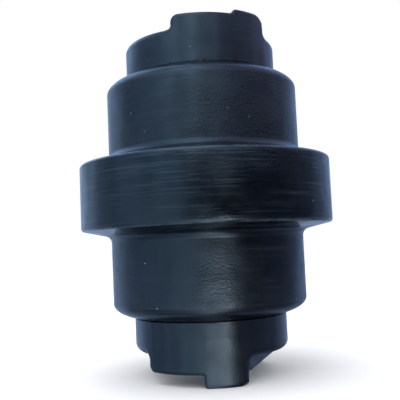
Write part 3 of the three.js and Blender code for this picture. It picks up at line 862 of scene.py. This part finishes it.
# Colours of the bands by azimuth, 0 towards the camera and growing towards +X
surroundings = {
    "above": {-180: (0.40, 0.52, 0.80), -128: (0.52, 0.82, 1.35), -100: (0.27, 0.44, 0.74),
              -60: (0.44, 0.78, 1.28), -10: (0.86, 1.38, 1.95), 14: (0.54, 0.80, 1.20),
              30: (0.38, 0.54, 0.90), 60: (0.24, 0.30, 0.50), 110: (0.30, 0.36, 0.64),
              150: (0.28, 0.44, 0.80), 180: (0.34, 0.46, 0.76)},
    "level": {-180: (0.40, 0.50, 0.78), -128: (0.46, 0.70, 1.08), -100: (0.22, 0.37, 0.62),
              -60: (0.38, 0.68, 1.12), -26: (0.42, 0.78, 1.20), -6: (0.08, 0.12, 0.17),
              12: (0.01, 0.01, 0.02), 60: (0.02, 0.03, 0.06), 100: (0.08, 0.11, 0.21),
              144: (0.28, 0.44, 0.76), 180: (0.34, 0.46, 0.74)},
    "below": {-180: (0.42, 0.52, 0.80), -128: (0.56, 0.86, 1.40), -95: (0.24, 0.42, 0.72),
              -60: (0.50, 0.84, 1.38), -20: (0.95, 1.48, 2.15), 2: (2.40, 3.45, 4.50),
              20: (2.90, 3.80, 4.60), 32: (0.60, 0.74, 0.98), 42: (0.18, 0.22, 0.36),
              70: (0.12, 0.17, 0.33), 110: (0.22, 0.30, 0.54), 144: (0.28, 0.40, 0.66),
              180: (0.32, 0.42, 0.66)},
}


def makeFloor():
    half, low = stage["floorSize"] / 2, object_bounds()[0].z
    mesh = bpy.data.meshes.new("studio_floor")
    corners = [(-half, -half, low), (half, -half, low), (half, half, low), (-half, half, low)]
    mesh.from_pydata(corners, [], [(0, 1, 2, 3)])
    floor = bpy.data.objects.new("studio_floor", mesh)
    bpy.context.scene.collection.objects.link(floor)
    material, tree, shader, place = startMaterial("studio_floor")
    mottle = ramped(tree, noise(tree, place, stage["mottleScale"], 3.0), *stage["mottleRange"])
    colour = stage["floorColour"]
    darker = tuple(stage["mottleShare"] * c for c in colour)
    tree.links.new(blendColours(tree, mottle, colour, darker), shader.inputs["Base Color"])
    shader.inputs["Roughness"].default_value = stage["floorRough"]
    shader.inputs["Specular IOR Level"].default_value = 0.0
    mesh.materials.append(material)
    floor.visible_glossy = False


def surroundingsRamp(tree, share, stops):
    # a colour ramp has two stops when it is new; the other ones are added
    node = addNode(tree, "ValToRGB", None, Fac=share)
    band = node.color_ramp
    places = sorted(stops.items())
    for index, (azimuth, colour) in enumerate(places):
        place = azimuth / 360 + 0.5
        if index < 2:
            stop = band.elements[index]
            stop.position = place
        else:
            stop = band.elements.new(place)
        stop.color = (*colour, 1)
    return node.outputs[0]


def scaledColour(tree, colour, share):
    return addNode(tree, "VectorMath", {"operation": "SCALE"}, i0=colour, Scale=share).outputs[0]


def makeSurroundings():
    # camera rays see a plain backdrop, glossy rays the surroundings, and all other rays an even fill
    world = bpy.data.worlds.new("surroundings")
    bpy.context.scene.world = world
    world.use_nodes = True
    tree = world.node_tree
    background = tree.nodes["Background"]
    direction = addNode(tree, "TexCoord").outputs["Generated"]
    way = addNode(tree, "SeparateXYZ", None, i0=direction)
    azimuth = math2(tree, "ARCTAN2", way.outputs[0], math2(tree, "MULTIPLY", way.outputs[1], -1.0))
    share = math2(tree, "ADD", math2(tree, "DIVIDE", azimuth, 2 * math.pi), 0.5)
    above, level, below = (surroundingsRamp(tree, share, stops) for stops in surroundings.values())
    height = way.outputs[2]
    high = scaledColour(tree, above, bands["highShare"])
    ground = scaledColour(tree, below, bands["groundShare"])
    colour = level
    for band, tint in (("toBelow", below), ("toAbove", above), ("toHigh", high), ("toGround", ground)):
        colour = blendColours(tree, ramped(tree, height, *bands[band]), colour, tint)
    cloud = ramped(tree, noise(tree, direction, bands["cloudScale"], 3.0, 0.55), *bands["cloudRange"],
                   1 - bands["unevenness"], 1 + bands["unevenness"])
    colour = scaledColour(tree, colour, cloud)
    ray = addNode(tree, "LightPath").outputs
    colour = blendColours(tree, ray["Is Glossy Ray"], stage["fill"], colour)
    colour = blendColours(tree, ray["Is Camera Ray"], colour, stage["backdrop"])
    tree.links.new(colour, background.inputs["Color"])


def makeSoftbox():
    lamp = bpy.data.lights.new("overhead_softbox", "AREA")
    lamp.shape, (lamp.size, lamp.size_y) = "RECTANGLE", softbox["size"]
    lamp.energy, lamp.color = softbox["power"], softbox["colour"]
    box = bpy.data.objects.new("overhead_softbox", lamp)
    bpy.context.scene.collection.objects.link(box)
    box.location = softbox["place"]
    aim = Vector(softbox["target"]) - Vector(softbox["place"])
    box.rotation_euler = aim.to_track_quat("-Z", "Y").to_euler()
    box.visible_camera = box.visible_glossy = False


def makeCamera():
    # looks level along +Y before it is pitched up and rolled; the object stands at the frame's origin
    pitch, roll = math.radians(camera["pitch"]), math.radians(camera["roll"])
    forward = Vector((0, math.cos(pitch), math.sin(pitch)))
    side = Vector((math.cos(roll), math.sin(roll) * math.sin(pitch), -math.sin(roll) * math.cos(pitch)))
    up = side.cross(forward)
    data = bpy.data.cameras.new("camera")
    data.lens, data.sensor_width = camera["lens"], camera["sensor"]
    data.shift_x, data.shift_y = camera["shift"]
    data.clip_start, data.clip_end = camera["clip"]
    holder = bpy.data.objects.new("camera", data)
    bpy.context.scene.collection.objects.link(holder)
    place = -camera["sideways"] * side - camera["distance"] * forward - camera["height"] * up
    axes = Matrix((side, up, -forward)).transposed().to_4x4()
    holder.matrix_world = Matrix.Translation(place) @ axes
    bpy.context.scene.camera = holder


makeFloor()
makeSurroundings()
makeSoftbox()
makeCamera()
bpy.context.scene.view_settings.view_transform = "Standard"
print("stage made")
